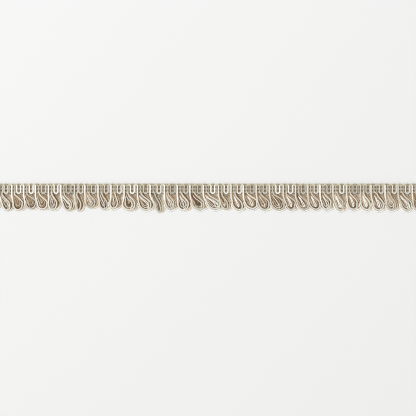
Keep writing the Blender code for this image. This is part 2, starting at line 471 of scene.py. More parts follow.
# %% Yarn finish
YARN_ROUGHNESS = 0.75
YARN_SPECULAR = 0.25
SHEEN_ROUGHNESS = 0.5
BUMP_STRENGTH = 0.35
FIBRE_HEIGHT = 0.05


def yarn_finish(name, colours, crests, fibre_length, wander, sheen):
    material = bpy.data.materials.new(name)
    material.use_nodes = True
    tree = material.node_tree
    shader = tree.nodes["Principled BSDF"]
    shader.inputs["Roughness"].default_value = YARN_ROUGHNESS
    shader.inputs["Specular IOR Level"].default_value = YARN_SPECULAR
    shader.inputs["Sheen Weight"].default_value = sheen
    shader.inputs["Sheen Roughness"].default_value = SHEEN_ROUGHNESS
    wave = fibre_wave(tree, crests, fibre_length)
    colour = dyed(tree, full_shade(tree, wave, wander), colours)
    tree.links.new(colour, shader.inputs["Base Color"])
    raised = {"Strength": BUMP_STRENGTH, "Distance": FIBRE_HEIGHT * MM}
    bump = add_node(tree, "ShaderNodeBump", raised)
    tree.links.new(wave, bump.inputs["Height"])
    tree.links.new(bump.outputs["Normal"], shader.inputs["Normal"])
    return material


print("bump height of a fibre, mm:", FIBRE_HEIGHT)

# %% [markdown]
# Five finishes are enough. The cream cord is nearly white. The skirt's tan yarn goes from brown to pale
# straw. The tan yarn of the heading is a little more olive. The binding threads are a duller cream, and
# the ground cloth is brown. The darker ends of the cream, tan and ground ramps also serve as painted
# shade, where a strand's shade is set low for light that it lacks.

# %% The five finishes
CREAM_DYES_AND_SHADE = (166, 160, 148), (212, 208, 194), (251, 250, 245)
TAN_DYES_AND_SHADE = (90, 65, 44), (150, 121, 88), (194, 170, 136), (236, 229, 214)
TURN_DYES = (86, 72, 50), (152, 138, 106), (192, 180, 150), (226, 218, 198)
BINDING_DYES = (160, 148, 128), (196, 186, 168), (228, 222, 208)
# The ground ramp's dark brown is partly painted shade for the hollows of the heading.
GROUND_DYES_AND_SHADE = (70, 54, 40), (112, 92, 72), (150, 128, 102)

CREAM = yarn_finish("cream_cord", CREAM_DYES_AND_SHADE, crests=3, fibre_length=1.1, wander=0.1, sheen=0.25)
TAN = yarn_finish("tan_yarn", TAN_DYES_AND_SHADE, crests=2, fibre_length=0.8, wander=0.12, sheen=0.2)
TURNS = yarn_finish("tan_turns", TURN_DYES, crests=2, fibre_length=0.8, wander=0.12, sheen=0.2)
BINDING = yarn_finish("binding_thread", BINDING_DYES, crests=2, fibre_length=0.7, wander=0.2, sheen=0.2)
GROUND = yarn_finish("ground_yarn", GROUND_DYES_AND_SHADE, crests=2, fibre_length=0.9, wander=0.3, sheen=0.1)
print("finishes:", [material.name for material in (CREAM, TAN, TURNS, BINDING, GROUND)])

# %% [markdown]
# ## How each loop hangs
#
# No two loops of the skirt hang alike. Some lean far over, some swing out wide, one is nearly straight.
# A row for each loop is the plainest way to say so. The first six numbers give its shape: how far its
# left limb stands from its column, how far the belly leans, how wide the belly is, how long the loop is,
# how far the right limb bows outward and how far the tip swings on beyond the belly. Two shades follow,
# for the left limb and for the scallop beside it. The last entry says what lies inside: a number picks
# the pattern of the tan yarn, and each letter adds a thin cream strand, explained where it is laid.

# %% Table of the loops
Hang = namedtuple("Hang", "nudge lean belly length bow swing limb_shade scallop_shade inside")
HANGS = (
    (0.0, 5.6, 8.0, 14.6, 0.3, 1.0, 0.8, 0.5, "1f"),
    (1.7, 7.0, 7.5, 14.9, 0.3, 1.2, 0.9, 0.6, "1e"),
    (1.4, 6.2, 9.2, 14.6, 0.9, 0.0, 0.9, 0.85, "0"),
    (0.8, 6.4, 10.2, 13.2, 0.9, 0.3, 0.9, 0.95, "0qs"),
    (0.0, 5.4, 10.2, 13.8, 0.6, 0.5, 0.95, 0.45, "0q"),
    (0.7, 3.7, 8.6, 14.4, 0.4, -0.6, 0.8, 0.9, "1fq"),
    (0.6, 6.1, 8.6, 15.1, 0.3, 0.8, 1.0, 0.2, "1de"),
    (1.9, 3.9, 5.2, 15.2, 0.3, 0.6, 0.55, 0.5, "0q"),
    (-0.4, 3.8, 9.8, 12.1, 0.6, 0.2, 0.8, 0.45, "3f"),
    (0.0, 4.1, 8.0, 13.7, 0.3, 0.6, 0.8, 0.5, "1f"),
    (0.0, 1.4, 8.0, 13.0, 0.3, -0.6, 0.9, 0.7, "0fl"),
    (0.0, 3.3, 13.1, 14.8, 0.5, 0.3, 0.85, 1.0, "2re"),
    (0.0, 6.6, 12.2, 14.6, 0.4, 1.0, 0.8, 0.4, "1del"),
    (-0.7, 5.6, 4.8, 16.8, 0.1, 1.6, 0.95, 0.7, "0q"),
    (0.0, 4.4, 8.6, 13.9, 0.3, 1.0, 0.95, 0.2, "3fel"),
    (-0.6, 4.0, 10.7, 14.6, 0.7, 0.4, 0.9, 0.35, "1fe"),
    (-1.4, 5.6, 12.0, 14.1, 0.6, 1.8, 0.8, 0.25, "2el"),
    (-1.5, 8.1, 13.4, 13.7, 0.2, 2.4, 0.9, 0.95, "1dfel"),
    (0.6, 5.1, 7.0, 13.7, 0.1, 1.4, 0.7, 0.8, "2"),
    (0.0, 5.2, 9.6, 14.6, 0.1, 1.8, 0.75, 0.7, "0wl"),
    (-0.8, 6.1, 12.3, 13.2, 0.8, 1.4, 0.9, 0.25, "0wl"),
    (-0.6, 6.0, 10.7, 14.4, 0.6, 0.8, 0.65, 0.4, "0fl"),
    (0.0, 7.1, 13.4, 14.4, 0.9, 1.4, 0.65, 0.9, "1fl"),
    (0.9, 7.1, 9.0, 14.4, 0.9, 0.8, 0.65, 0.8, "0wl"),
    (0.5, 6.6, 11.2, 14.1, 0.2, 1.8, 0.6, 0.3, "2wl"),
    (0.0, 5.5, 10.7, 14.1, 0.3, 1.6, 0.6, 0.6, "0wl"),
    (-0.7, 4.2, 9.1, 14.1, 1.0, 0.6, 1.0, 0.35, "1fel"),
    (-0.7, 4.2, 8.0, 15.1, 0.3, 1.6, 0.65, 0.75, "3wdl"),
    (0.0, 4.7, 9.6, 14.1, 0.8, 0.8, 0.65, 0.2, "0wl"),
    (0.8, 4.6, 9.6, 14.6, 0.3, 1.2, 0.4, 0.3, "3wl"),
    (-2.0, 4.0, 10.6, 14.9, 0.4, 1.0, 0.7, 0.5, "0wel"),
    (-1.1, 3.5, 9.1, 14.6, 0.2, 1.4, 0.8, 0.6, "3el"),
    (-1.2, 5.8, 10.7, 15.1, 0.4, 1.6, 0.45, 0.6, "1dfel"),
    (0.0, 3.9, 8.0, 14.6, 0.4, 0.6, 0.8, 0.5, "0l"),
)
LOOPS = [Hang(*row) for row in HANGS]
print("loops:", len(LOOPS), "widest, mm:", max(hang.belly for hang in LOOPS))

# %% [markdown]
# ## The shape of one loop
#
# Each loop hangs like a teardrop from two roots at the heading. Its left limb is nearly straight at
# first and then swings over. Its right limb eases across to the widest place, and may bow on its way.
# A few lines of arithmetic give both limbs at any depth below the roots. A curve drawn by hand for each
# loop would take far longer, and the tan yarn couldn't follow it. A length in the table is measured from
# a little below the roots, so that stretch is added to it.

# %% One loop
ROOT_LEVEL = 3.2
LENGTH_FROM = 1.25
LOOP_RIGHT = -4.6
BELLY_SHARE = 0.64
LEFT_EASE = 1.6


class Loop:
    """A teardrop hanging from two roots, leaning along the trim."""

    def __init__(self, repeat):
        hang = LOOPS[repeat]
        middle = scallop_x(repeat)
        centre = middle + (LONG_LEFT + LONG_RIGHT) / 2 + hang.lean
        self.repeat, self.bow, self.swing = repeat, hang.bow, hang.swing
        self.roots = middle + LONG_LEFT + hang.nudge, middle + LOOP_RIGHT
        self.belly = centre - hang.belly / 2, centre + hang.belly / 2
        self.length = hang.length + ROOT_LEVEL - LENGTH_FROM
        self.widest = BELLY_SHARE * self.length

    def left_x(self, depth):
        share = min(max(depth / self.widest, 0.0), 1.0)
        return self.roots[0] + (self.belly[0] - self.roots[0]) * share**LEFT_EASE

    def right_x(self, depth):
        share = min(max(depth / self.widest, 0.0), 1.0)
        ease = share * share * (3 - 2 * share) + self.bow * share * (1 - share)
        return self.roots[1] + (self.belly[1] - self.roots[1]) * ease


print("longest loop, mm:", round(max(Loop(repeat).length for repeat in range(REPEATS)), 1))

# %% [markdown]
# A strand inside a loop is placed by how far down it is and how far across. Below the widest place the
# loop closes as half an ellipse does, and its middle moves along with the swing.

# %% A place inside a loop
def across(loop, side, depth):
    """A place inside the loop: side runs from -1 at the left limb to 1 at the right limb."""
    lower = min(max((depth - loop.widest) / (loop.length - loop.widest), 0.0), 1.0)
    left, right = loop.left_x(depth), loop.right_x(depth)
    half = (right - left) / 2 * math.sqrt(1 - lower**2)
    return (left + right) / 2 + loop.swing * lower + side * half


print("middle of the first loop at its tip, mm:", round(across(Loop(0), 0, Loop(0).length), 1))

# %% [markdown]
# The whole outline goes down the left limb, round the tip and up the right limb. It can be drawn in or
# let out at the left, at the right and at the tip, so the same lines serve the cream cord and the tan
# yarn. Where the next loop is in the way, the right limb of a held outline lies against it.

# %% The outline of a loop
LIMB_STEPS = 8
TIP_STEPS = 10
CORD_ROOM = 1.45


def kept_clear(loop, x, depth):
    """The right limb lies against the next loop's left limb."""
    if loop.repeat + 1 == REPEATS:
        return x
    return min(x, Loop(loop.repeat + 1).left_x(depth) - CORD_ROOM)


def outline(loop, left=0.0, right=0.0, tip=0.0, held=True):
    """Points from the left root round the tip to the right root: x, y and the share of the way."""
    depths = [loop.widest * step / LIMB_STEPS for step in range(LIMB_STEPS)]
    points = [(loop.left_x(depth) + left, depth) for depth in depths]
    low, high = loop.belly[0] + left, loop.belly[1] - right
    drop = loop.length - loop.widest - tip
    for step in range(TIP_STEPS + 1):
        angle = math.pi * step / TIP_STEPS
        x = (low + high) / 2 - (high - low) / 2 * math.cos(angle) + loop.swing * math.sin(angle)
        points.append((x, loop.widest + drop * math.sin(angle)))
    points += [(loop.right_x(depth) - right, depth) for depth in reversed(depths)]
    if held:
        half = LIMB_STEPS + TIP_STEPS // 2 + 1
        points[half:] = [(kept_clear(loop, x, depth), depth) for x, depth in points[half:]]
    last = len(points) - 1
    return [(x, ROOT_LEVEL - depth, number / last) for number, (x, depth) in enumerate(points)]


print("points in an outline:", len(outline(Loop(0))))

# %% [markdown]
# ## The cream cord
#
# The cord is one unbroken line from end to end of the trim. In the heading its left limb stands proud,
# full and bright. Its right limb is tucked lower, under the binding threads, where it is thinner and its
# colour is darkened as painted shade. Separate pieces of cord would need their twist matched at each
# join, so one line is simpler. The levels say how far up the heading the cord turns. A look gives its
# height over the table and its fullness, and for the tucked limb and the upper turns its shade as well,
# which is painted shade: darker, for cord that lies low or turns over the edge.

# %% Levels and looks of the cord
HIGH_LEVEL = 12.7
MIDDLE_LEVEL = 8.8
LOW_LEVEL = 5.2
LIMB_TOP = HIGH_LEVEL - 0.3
TURN_LEVEL = 13.55
TUCK_LEVEL = LOW_LEVEL + 1.0
SCALLOP_CENTRE = 6.0
SCALLOP_BOTTOM = 4.1

PROUD = (1.6, 1.28)
SCALLOP = (1.6, 1.12)
# The third values of TUCKED and TURN are darker shades: painted shade for cord that lies low.
TUCKED = (1.4, 0.85, 0.45)
TURN = (1.1, 0.95, 0.3)
print("the cord turns over at, mm:", TURN_LEVEL, "and the scallops end at", SCALLOP_BOTTOM)

# %% [markdown]
# In the skirt the cord follows its loop. It starts as full and bright as in the heading and fades to a
# finer, duller cord before the tip. A slow sway keeps it from looking ruled. The sway and the duller
# shade come from a seeded series, so every run gives the same trim.

# %% Down and round a loop
SKIRT_HIGH = 1.8
SKIRT_LOW = 1.6
LOOP_FULLNESS = 1.15
LOOP_SHADES = 0.3, 0.65
FADE_FROM = 0.08
FADE_OVER = 0.32
SWAY = 0.22
SWAY_DEPTH = 6
SWAY_STEP = 0.55


def skirt_points(repeat, uneven):
    """The long loop: full and bright where it leaves the heading, finer below."""
    shade = LOOPS[repeat].limb_shade
    lower_shade = uneven.uniform(*LOOP_SHADES)
    phase = uneven.uniform(0, 2 * math.pi)
    for number, (x, y, share) in enumerate(outline(Loop(repeat))):
        fading = min(max((share - FADE_FROM) / FADE_OVER, 0.0), 1.0)
        depth = min(max((ROOT_LEVEL - y) / SWAY_DEPTH, 0.0), 1.0)
        x += SWAY * depth * math.sin(phase + number * SWAY_STEP)
        height = SKIRT_HIGH + (SKIRT_LOW - SKIRT_HIGH) * math.sin(math.pi * share)
        fullness = PROUD[1] + (LOOP_FULLNESS - PROUD[1]) * fading
        yield x, y, height, fullness, shade + (lower_shade - shade) * fading


print("cord heights in the skirt, mm:", SKIRT_HIGH, SKIRT_LOW)

# %% [markdown]
# One repeat of the cord is a list of points in the order in which the cord was laid: down the proud
# limb, round the long loop, up the tucked limb, over the edge, down into the scallop and up again.

# %% Through one repeat
SCALLOP_ANGLES = 45, 90, 135


def scallop_points(first, last, look):
    """Down into a scallop, round its foot and up again."""
    points = [(first, level, *look) for level in (LIMB_TOP, MIDDLE_LEVEL, SCALLOP_CENTRE)]
    for angle in map(math.radians, SCALLOP_ANGLES):
        x = (first + last) / 2 - (last - first) / 2 * math.cos(angle)
        points.append((x, SCALLOP_CENTRE - (SCALLOP_CENTRE - SCALLOP_BOTTOM) * math.sin(angle), *look))
    return points + [(last, level, *look) for level in (SCALLOP_CENTRE, MIDDLE_LEVEL, LIMB_TOP)]


def repeat_points(repeat, uneven):
    """The cord through one repeat, from one upper turn to the next but one."""
    middle, left, hang = scallop_x(repeat), Loop(repeat).roots[0], LOOPS[repeat]
    first, last = middle + SCALLOP_LEFT, middle + SCALLOP_RIGHT
    right = left + LONG_RIGHT - LONG_LEFT
    points = [(left, level, *PROUD, hang.limb_shade) for level in (LIMB_TOP, MIDDLE_LEVEL, LOW_LEVEL)]
    points += skirt_points(repeat, uneven)
    points += [(right, level, *TUCKED) for level in (TUCK_LEVEL, MIDDLE_LEVEL, LIMB_TOP)]
    points.append(((right + first) / 2, TURN_LEVEL, *TURN))
    points += scallop_points(first, last, (*SCALLOP, hang.scallop_shade))
    if repeat + 1 < REPEATS:
        points.append(((last + Loop(repeat + 1).roots[0]) / 2, TURN_LEVEL, *TURN))
    return points


print("points round one scallop:", len(scallop_points(-2.0, 2.0, SCALLOP)))

# %% [markdown]
# The finished line is plied as a whole and only then cut below the scallops, into runs in the heading
# and runs in the skirt. Each kind of run stands for its own part of the plain model. Each run keeps one
# row of the next, so the plies run on across the cut.

# %% Lay the cord
CORD_STEP = 0.45
CORD_SEED = 5
HEADING_CUT = 3.75


def runs(keep):
    """The stretches of rows where keep is true, each one row longer so that they meet."""
    bounds = [0, *(np.flatnonzero(np.diff(keep.astype(int))) + 1), len(keep)]
    for start, end in zip(bounds, bounds[1:]):
        if keep[start] and end - start > 1:
            yield slice(start, min(end + 1, len(keep)))


uneven = random.Random(CORD_SEED)
route = [point for repeat in range(REPEATS) for point in repeat_points(repeat, uneven)]
cord_line = smooth(route, CORD_STEP)
in_heading = cord_line[:, 1] > HEADING_CUT
cord_plies = plied([cord_line], CORD_TWIST)
print("cream cord, mm:", round(travel(cord_line)[-1]))

# %% The two cream pieces
CREAM_SIDES = 5

heading_cord = [ply[run] for ply in cord_plies for run in runs(in_heading)]
skirt_cord = [ply[run] for ply in cord_plies for run in runs(~in_heading)]
cream_heading = strand_mesh("heading_cord", heading_cord, CREAM_SIDES, CREAM)
cream_skirt = strand_mesh("cream_cord_loops", skirt_cord, CREAM_SIDES, CREAM)

# %% [markdown]
# ## Filler cords
#
# A thinner cream cord fills the narrow gap between the end of each scallop and the next long limb. It
# lies low, under the binding threads, so the gap shows flat and pale and not as a hollow. It is straight,
# so four points are enough for each.

# %% Filler cords
THIN_STEP = 0.5
FILLER = (1.1, 1.1, 0.35)
FILLER_LEVELS = (4.9, 7.5, 10.2, 13.3)

filler_lines = []
for repeat in range(REPEATS):
    place = scallop_x(repeat) + AFTER_SCALLOP
    filler_lines.append(smooth([(place, level, *FILLER) for level in FILLER_LEVELS], THIN_STEP))
filler_cords = strand_mesh("filler_cords", plied(filler_lines, THIN_TWIST), CREAM_SIDES, CREAM)

# %% [markdown]
# ## Thin cream strands in the loops
#
# Many loops hold thinner cream strands, which the loom left between the cord and the tan yarn. Each is
# placed inside its loop by two numbers: how far across, from -1 at the left limb to 1 at the right, and
# how far down. The letters of the table pick one: f hangs down the middle, q beside the left limb, d and
# e slant towards the right, w is a narrow doubled loop and r a ring. A letter costs far less than a
# strand drawn for each loop, and the loops' own shapes still make no two alike.

# %% Strands inside a loop
INSIDE = {
    "f": (0.7, ((-0.15, 0.0), (-0.1, 0.3), (0.05, 0.6), (0.15, 0.84), (0.2, 0.97))),
    "q": (0.4, ((-0.55, 0.0), (-0.55, 0.3), (-0.5, 0.6), (-0.4, 0.8), (-0.3, 0.96))),
    "d": (0.8, ((-0.4, 0.0), (-0.3, 0.25), (0.1, 0.5), (0.5, 0.7), (0.7, 0.86), (0.9, 0.95))),
    "e": (0.65, ((-0.1, 0.0), (0.0, 0.25), (0.4, 0.5), (0.64, 0.7), (0.5, 0.86), (0.3, 0.97))),
    "w": (0.85, ((-0.1, 0.0), (-0.1, 0.4), (-0.05, 0.7), (0.1, 0.84), (0.25, 0.7), (0.12, 0.4), (0.1, 0.0))),
    "r": (0.6, ((-0.5, 0.0), (-0.55, 0.4), (-0.5, 0.75), (0.0, 0.88), (0.5, 0.75), (0.5, 0.4), (0.3, 0.0))),
}
INSIDE_HEIGHT = 1.5
THIN_FULLNESS = 1.05
END_HEIGHT = 0.6


def thin_line(points, height, shade):
    """A thin strand whose two ends slip down under the cord."""
    rows = [[x, y, height, THIN_FULLNESS, shade] for x, y in points]
    rows[0][2] = rows[-1][2] = END_HEIGHT
    return smooth(rows, THIN_STEP)


def inside_strand(loop, mark):
    shade, places = INSIDE[mark]
    depths = [(side, share * loop.length) for side, share in places]
    points = [(across(loop, side, depth), ROOT_LEVEL - depth) for side, depth in depths]
    return thin_line(points, INSIDE_HEIGHT, shade)


print("strand f of the first loop, mm:", round(travel(inside_strand(Loop(0), "f"))[-1], 1))

# %% [markdown]
# Two letters lie outside. An l is slung below the tip: it is a stretch of the loop's own outline, let
# out on all sides. An s hangs straight down over the left limb.

# %% Strands outside a loop, and all thin strands
SLUNG_OUTSETS = (-1.9, -1.2, -2.2)
SLUNG_STRETCH = slice(LIMB_STEPS - 1, LIMB_STEPS + TIP_STEPS - 1)
SLUNG = (0.75, 1.0)
STRAIGHT = (2.1, 0.9)
STRAIGHT_PLACES = ((0.0, ROOT_LEVEL), (0.3, -2.0), (0.4, -6.0), (0.9, -12.2))
STRAIGHT_SIDE = 0.6


def thin_strand(loop, mark):
    if mark == "l":
        return thin_line([(x, y) for x, y, _ in outline(loop, *SLUNG_OUTSETS)[SLUNG_STRETCH]], *SLUNG)
    if mark == "s":
        start = loop.roots[0] + STRAIGHT_SIDE
        return thin_line([(start + x, y) for x, y in STRAIGHT_PLACES], *STRAIGHT)
    return inside_strand(loop, mark)


marks = [(repeat, mark) for repeat in range(REPEATS) for mark in LOOPS[repeat].inside[1:]]
thin_lines = [thin_strand(Loop(repeat), mark) for repeat, mark in marks]
cream_thin = strand_mesh("thin_cream_strands", plied(thin_lines, THIN_TWIST), CREAM_SIDES, CREAM)

# %% [markdown]
# ## The tan yarn
#
# Two-ply tan yarn runs with the cream cord. Some of it lies inside each cream loop, ring within ring,
# and closes the loop with warm colour. The rest comes down behind the scallop, follows the outside of
# the cream cord's right limb, and passes under the tip. It could be one tangled line, as it was on the
# loom, but nests of the loop's own outline are easier to steer and look the same. Each yarn sways a
# little and hides its two roots under the binding threads. Its colour is darkened near the heading and
# lightens further down: painted shade under the heading.

# %% One tan yarn
TAN_STEP = 0.9
HIDDEN_LEVEL = 5.2
# Painted shade: a tan yarn is darkened to this share of its shade at its roots, lighter below them.
ROOT_PAINTED_SHADE = 0.7
PAINTED_SHADE_LIFT_PER_MM = 0.035
SHADE_SPREAD = 0.1
TAN_SWAY = 0.3
TAN_SWAY_DEPTH = 7
TAN_SWAY_STEP = 0.5


def tan_yarn(points, tops, heights, shade, uneven):
    """A tan loop with its two roots led up under the binding threads."""
    height = uneven.uniform(*heights)
    phase = uneven.uniform(0, 2 * math.pi)
    shade += uneven.uniform(-SHADE_SPREAD, SHADE_SPREAD)
    # The roots under the heading and the rows near it take painted shade.
    root = (HIDDEN_LEVEL, height, 1.0, ROOT_PAINTED_SHADE * shade)
    rows = [(tops[0], *root)]
    for number, (x, y, _) in enumerate(points):
        depth = min(max((ROOT_LEVEL - y) / TAN_SWAY_DEPTH, 0.0), 1.0)
        sway = TAN_SWAY * depth * math.sin(phase + TAN_SWAY_STEP * number)
        rows.append((x + sway, y, height, 1.0, shade * (ROOT_PAINTED_SHADE + PAINTED_SHADE_LIFT_PER_MM * (ROOT_LEVEL - y))))
    rows.append((tops[1], *root))
    return smooth(rows, TAN_STEP)


print("share of its shade that a tan yarn keeps at its roots:", ROOT_PAINTED_SHADE)

# %% [markdown]
# The inner yarns are drawn in ring by ring towards the middle of the loop, each a little shorter and a
# little out of true. Light and dark yarns lie side by side, in the pattern that the table picks. All lie
# higher than the outer yarns, because each loop of the trim lies over the tail of the one before.

# %% Inside a loop
INNER_HEIGHTS = 0.9, 1.05
INNER_SHADES = (
    (0.1, 0.5, 0.7, 0.4, 0.65),
    (0.1, 0.85, 0.2, 0.8, 0.3),
    (0.5, 0.75, 0.3, 0.05, 0.0),
    (0.5, 0.85, 0.7, 0.95, 0.75),
)
RING_GAP = 0.95
LAST_RING = 0.5
FEWEST_RINGS = 2
RING_SHORTER = 0.42
RING_UNEVEN = 0.03
RING_ASIDE = 0.06


def inner_nest(repeat, uneven):
    """Rings within the cream loop, drawn in towards its middle and a little shorter each time."""
    loop = Loop(repeat)
    half = (loop.belly[1] - loop.belly[0]) / 2
    shades = INNER_SHADES[int(LOOPS[repeat].inside[0])]
    for number in range(max(int((half - LAST_RING) / RING_GAP) + 1, FEWEST_RINGS)):
        width = 1 - (RING_GAP + RING_GAP * number) / half + uneven.uniform(-RING_UNEVEN, RING_UNEVEN)
        shorter = 1 - RING_SHORTER * (1 - width)
        aside = uneven.uniform(-RING_ASIDE, RING_ASIDE)
        rows = []
        for x, y, share in outline(loop, held=False):
            own_middle = across(loop, 0, ROOT_LEVEL - y)
            depth = (ROOT_LEVEL - y) * shorter
            x = across(loop, 0, depth) + (x - own_middle) * width + aside
            rows.append((x, ROOT_LEVEL - depth, share))
        tops = rows[0][0], rows[-1][0]
        yield tan_yarn(rows, tops, INNER_HEIGHTS, shades[number % len(shades)], uneven)


print("patterns of the inner yarns:", len(INNER_SHADES))

# %% [markdown]
# The outer yarns are let out further and further at the right, and reach a little lower each time. On
# the way up they leave the cream cord and make for their own roots behind the scallop. The outermost
# one is the palest.

# %% Outside a loop
OUTER_HEIGHTS = 0.52, 0.66
OUTER_ROOTS = (-3.6, -2.6, -1.0, 0.8, 2.4, 3.8)
OUTER_SHADES = (
    (0.1, 0.55, 0.85, 0.4, 0.8, 0.9),
    (0.2, 0.85, 0.4, 0.7, 0.6, 1.0),
    (0.45, 0.15, 0.7, 0.85, 0.65, 0.95),
)
LEFT_SPREAD = -1.3, 0.3
FIRST_OUTSET = 1.0
OUTSET_STEP = 0.8
OUTSET_UNEVEN = 0.2
FIRST_RISE = 0.7
RISE_STEP = 0.33
RISE_UNEVEN = 0.25
LEFT_ROOT = 0.5
LEFT_PULL_TO = 0.8
LEFT_PULL_END = 0.4
RIGHT_PULL_START = 0.75


def outer_nest(repeat, uneven):
    """Yarns from behind the scallop, outside the right limb and under the tip."""
    loop = Loop(repeat)
    middle = scallop_x(repeat)
    shades = uneven.choice(OUTER_SHADES)
    left = uneven.uniform(*LEFT_SPREAD)
    for number, root in enumerate(OUTER_ROOTS):
        outset = FIRST_OUTSET + OUTSET_STEP * number + uneven.uniform(-OUTSET_UNEVEN, OUTSET_UNEVEN)
        rise = FIRST_RISE - RISE_STEP * number + uneven.uniform(-RISE_UNEVEN, RISE_UNEVEN)
        rows = []
        for x, y, share in outline(loop, left, -outset, rise, held=False):
            ease = max(share - RIGHT_PULL_START, 0.0) / (1 - RIGHT_PULL_START)
            x += max(LEFT_PULL_END - share, 0.0) * (loop.roots[0] + LEFT_PULL_TO - x - left)
            rows.append((x + (middle + root - loop.roots[1] - outset) * ease**2, y, share))
        tops = loop.roots[0] + LEFT_ROOT, middle + root
        yield tan_yarn(rows, tops, OUTER_HEIGHTS, shades[number], uneven)


print("outer yarns of each loop:", len(OUTER_ROOTS))

# %% [markdown]
# Both nests are laid loop by loop from one seeded series. The outer yarns of one loop near the middle
# come from a more olive lot of yarn. They wait until the olive yarn of the heading is made.

# %% Lay the tan loops
TAN_SEED = 11
TAN_SIDES = 4
OLIVE_LOOP = 13

uneven = random.Random(TAN_SEED)
inner_lines, outer_lines, olive_lines = [], [], []
for repeat in range(REPEATS):
    inner_lines += inner_nest(repeat, uneven)
    lot = olive_lines if repeat == OLIVE_LOOP else outer_lines
    lot.extend(outer_nest(repeat, uneven))
tan_inner = strand_mesh("tan_inner_loops", plied(inner_lines, TAN_TWIST), TAN_SIDES, TAN)
tan_outer = strand_mesh("tan_outer_loops", plied(outer_lines, TAN_TWIST), TAN_SIDES, TAN)

# %% [markdown]
# Under both nests lie a few single yarns close to the table. They close the last gaps, so no table shows
# through the middle of a loop. Their dark colour is painted shade, for the depth under the yarns above.
# They are hardly seen, so they have no plies.

# %% Lowest tan yarns
LOW_RADIUS = 0.36
# The low shade is painted shade, dark for the depth under the yarns above.
LOWEST_PAINTED_SHADE = 0.3
LOW_STEP = 1.0
LOW_INSETS = 1.4, 2.3, 3.2, 4.1, 5.0
LOW_OUTSETS = 1.3, 2.1, 2.9, 3.7
LOW_RISE = 0.4
RIGHT_LIMB = slice(-12, None)
WITHOUT_ROOTS = slice(1, -1)


def low_yarn(points):
    rows = [(x, y, LOW_RADIUS, LOW_RADIUS, LOWEST_PAINTED_SHADE) for x, y, _ in points]
    return turned(smooth(rows, LOW_STEP))


lowest = []
for loop in map(Loop, range(REPEATS)):
    for inset in LOW_INSETS:
        if loop.belly[1] - loop.belly[0] > 2 * inset:
            lowest.append(low_yarn(outline(loop, inset, inset, inset)[WITHOUT_ROOTS]))
    for outset in LOW_OUTSETS:
        lowest.append(low_yarn(outline(loop, 0, -outset, LOW_RISE, held=False)[RIGHT_LIMB]))
tan_lowest = strand_mesh("tan_lowest_yarns", lowest, TAN_SIDES, TAN)

# %% [markdown]
# ## Tan yarn in the heading
#
# This yarn is a little more olive than the skirt's. At the upper edge it comes over from the back, once
# inside each long loop and once inside each scallop. Seen from above, that is a small fan of three
# arches, one within the other. A flat patch with a bump would be quicker, but the arches catch the
# light at the trim's edge, where it shows most.

# %% Arches over the edge
ARCH_STEP = 0.4
ARCH_TOP = heading_high - 0.7
ARCH_FOOT = 12.0
ARCH_FOOT_HEIGHT = 0.9
ARCH_HEIGHT = 1.95
ARCH_SQUASH = 0.8
ARCH_HALVES = 0.3, 0.95, 1.6
ARCH_SHADES = 0.4, 0.75
ARCH_ANGLES = range(0, 181, 30)
END_ROOM = 0.5


def arch(middle, half, shade):
    """One arch at the upper edge, a little flatter than half a circle."""
    points = [(middle - half, ARCH_FOOT, ARCH_FOOT_HEIGHT, 1.0, shade)]
    for angle in map(math.radians, ARCH_ANGLES):
        y = ARCH_TOP - half * ARCH_SQUASH * (1 - math.sin(angle))
        points.append((middle - half * math.cos(angle), y, ARCH_HEIGHT, 1.0, shade))
    points.append((middle + half, ARCH_FOOT, ARCH_FOOT_HEIGHT, 1.0, shade))
    return smooth(points, ARCH_STEP)


def arches(repeat, uneven):
    middle, long_left = scallop_x(repeat), Loop(repeat).roots[0]
    for place in (long_left + INSIDE_LONG - LONG_LEFT, middle + INSIDE_SCALLOP):
        for half in ARCH_HALVES:
            if place - half > left_end + END_ROOM:
                yield arch(place, half, uneven.uniform(*ARCH_SHADES))


print("arches inside each loop and each scallop:", len(ARCH_HALVES))

# %% [markdown]
# The yarn also runs up the heading between the long loop and the scallop, low and in shade, two strands
# side by side. One more runs along the edge, under the arches and the turns of the cord, and closes the
# gaps between them. The olive yarns of the one skirt loop go into the same piece.

# %% Tan yarn in the heading
BETWEEN_OFFSETS = -0.3, 0.3
BETWEEN_LEVELS = 4.9, 7.5, 10.5, 13.2
BETWEEN = (0.95, 1.0, 0.45)
EDGE_LEVEL = heading_high - 0.85
EDGE_UNEVEN = 0.1
EDGE = (0.6, 0.6, 0.5)


def between(repeat):
    """Two strands that run up between a long loop and its scallop."""
    long_right = Loop(repeat).roots[0] + LONG_RIGHT - LONG_LEFT
    middle = (long_right + scallop_x(repeat) + SCALLOP_LEFT) / 2
    for offset in BETWEEN_OFFSETS:
        yield smooth([(middle + offset, level, *BETWEEN) for level in BETWEEN_LEVELS], TAN_STEP)


heading_lines = [line for repeat in range(REPEATS) for line in (*arches(repeat, uneven), *between(repeat))]
edge = [(left_end + END_ROOM, EDGE_LEVEL, *EDGE)]
for repeat in range(REPEATS):
    edge.append((scallop_x(repeat), EDGE_LEVEL + uneven.uniform(-EDGE_UNEVEN, EDGE_UNEVEN), *EDGE))
edge.append((right_end - END_ROOM, EDGE_LEVEL, *EDGE))
heading_lines.append(smooth(edge, TAN_STEP))
olive_plies = plied(heading_lines + olive_lines, TAN_TWIST)
tan_turns = strand_mesh("olive_tan_yarn", olive_plies, TAN_SIDES, TURNS)

# %% [markdown]
# ## Binding threads
#
# Three rows of fine warp threads run the whole length of the heading and tie the cords down. They dip
# under the proud cords and ride over the others, so they show as pale bridges between the dark hollows.
# A thread drawn flat would float over the cords, so each thread has its own height at every column.

